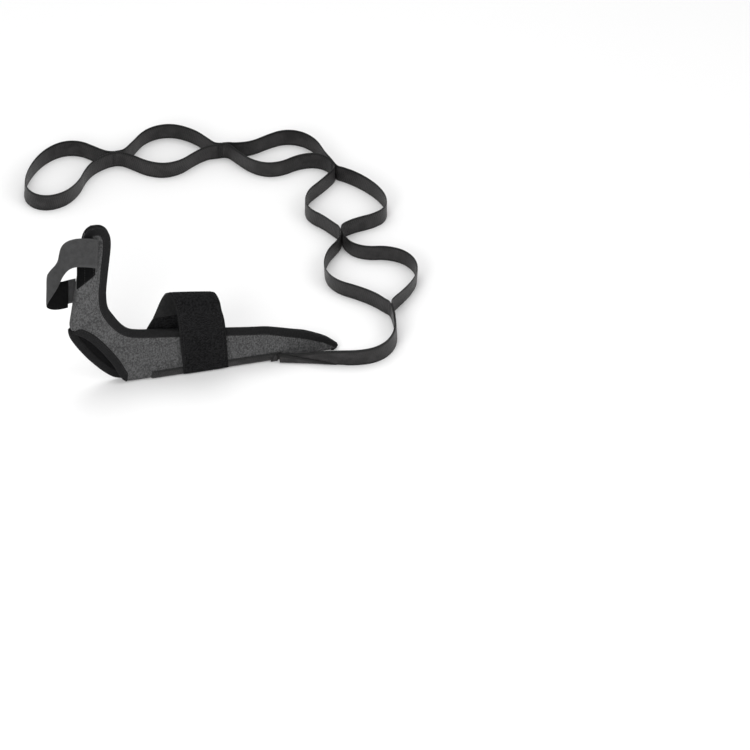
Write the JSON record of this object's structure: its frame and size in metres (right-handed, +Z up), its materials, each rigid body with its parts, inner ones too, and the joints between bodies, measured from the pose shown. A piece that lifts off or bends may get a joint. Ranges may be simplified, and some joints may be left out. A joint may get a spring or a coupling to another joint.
{
  "type": "stretching strap",
  "caption": "Foot stretching strap: folded fabric foot sling with heel opening, instep strap and ankle strap, and a webbing tail sewn into hand loops.",
  "frame": {"origin": "middle of the flat underside of the sling, on the surface it stands on", "axes": "+X along the sling from heel to toe, +Z up, and -Y towards the wall that carries the closed ends of the straps"},
  "size_m": [0.5748, 0.6036, 0.2756],
  "materials": {
    "heather_fabric": "heathered woven face of a foam laminate",
    "foam": "closed-cell cushioning foam",
    "lining": "smooth knitted lining",
    "binding_tape": "woven edge binding tape",
    "webbing": "woven polyester webbing with a twill rib",
    "loop_pile": "brushed loop-pile elastic, matt",
    "strap_band": "smooth woven elastic band",
    "hook_pad": "moulded hook fastener",
    "thread": "sewing thread"
  },
  "bodies": {
    "sole": {"sole_outer_fabric": "heather_fabric", "sole_foam": "foam", "sole_lining": "lining", "sole_edge_binding": "binding_tape", "sole_heel_binding": "binding_tape", "sole_webbing": "webbing", "sole_webbing_stitching": "thread", "tail_end_fold": "webbing", "instep_strap_anchor": "loop_pile", "instep_anchor_stitching": "thread"},
    "ankle_cuff": {"cuff_outer_fabric": "heather_fabric", "cuff_foam": "foam", "cuff_lining": "lining", "cuff_edge_binding": "binding_tape", "cuff_heel_binding": "binding_tape", "ankle_strap_base": "strap_band", "ankle_base_stitching": "thread", "ankle_strap_tab": "strap_band"},
    "instep_strap": {"instep_strap_band": "loop_pile", "instep_strap_hook_pad": "hook_pad"},
    "ankle_strap": {"ankle_strap_band": "strap_band", "ankle_strap_hook_pad": "hook_pad"},
    "tail": {"tail_inner_webbing": "webbing", "tail_outer_webbing": "webbing", "tail_bar_tack": "thread"},
    "loop_5": {"loop_5_right": "webbing", "loop_5_left": "webbing", "loop_5_bar_tack": "thread"},
    "loop_4": {"loop_4_right": "webbing", "loop_4_left": "webbing", "loop_4_bar_tack": "thread"},
    "loop_3": {"loop_3_far": "webbing", "loop_3_near": "webbing", "loop_3_bar_tack": "thread"},
    "loop_2": {"loop_2_far": "webbing", "loop_2_near": "webbing", "loop_2_bar_tack": "thread"},
    "loop_1": {"loop_1_end": "webbing", "loop_1_bar_tack": "thread"}
  },
  "joints": [
    {"name": "heel_flex", "type": "hinge", "parent": "sole", "child": "ankle_cuff", "pos_m": [-0.134, 0, 0.098], "axis": [0, 1, 0], "range_deg": [-14, 14]},
    {"name": "instep_strap_open", "type": "hinge", "parent": "sole", "child": "instep_strap", "pos_m": [0, 0.01, 0.09], "axis": [-1, 0, 0], "range_deg": [0, 110]},
    {"name": "ankle_strap_open", "type": "hinge", "parent": "ankle_cuff", "child": "ankle_strap", "pos_m": [-0.1456, -0.011, 0.231], "axis": [0, 0, 1], "range_deg": [0, 75]},
    {"name": "tail_swing", "type": "hinge", "parent": "sole", "child": "tail", "pos_m": [0.116, -0.013, 0.0125], "axis": [0, 0, 1], "range_deg": [-35, 6]},
    {"name": "loop_5_bend", "type": "hinge", "parent": "tail", "child": "loop_5", "pos_m": [0.294, 0.048, 0.0125], "axis": [0, 0, 1], "range_deg": [-18, 18]},
    {"name": "loop_4_bend", "type": "hinge", "parent": "loop_5", "child": "loop_4", "pos_m": [0.273, 0.242, 0.0125], "axis": [0, 0, 1], "range_deg": [-18, 18]},
    {"name": "loop_3_bend", "type": "hinge", "parent": "loop_4", "child": "loop_3", "pos_m": [0.305, 0.399, 0.0125], "axis": [0, 0, 1], "range_deg": [-18, 18]},
    {"name": "loop_2_bend", "type": "hinge", "parent": "loop_3", "child": "loop_2", "pos_m": [0.167, 0.486, 0.0125], "axis": [0, 0, 1], "range_deg": [-18, 18]},
    {"name": "loop_1_bend", "type": "hinge", "parent": "loop_2", "child": "loop_1", "pos_m": [0.018, 0.505, 0.0125], "axis": [0, 0, 1], "range_deg": [-18, 18]}
  ]
}
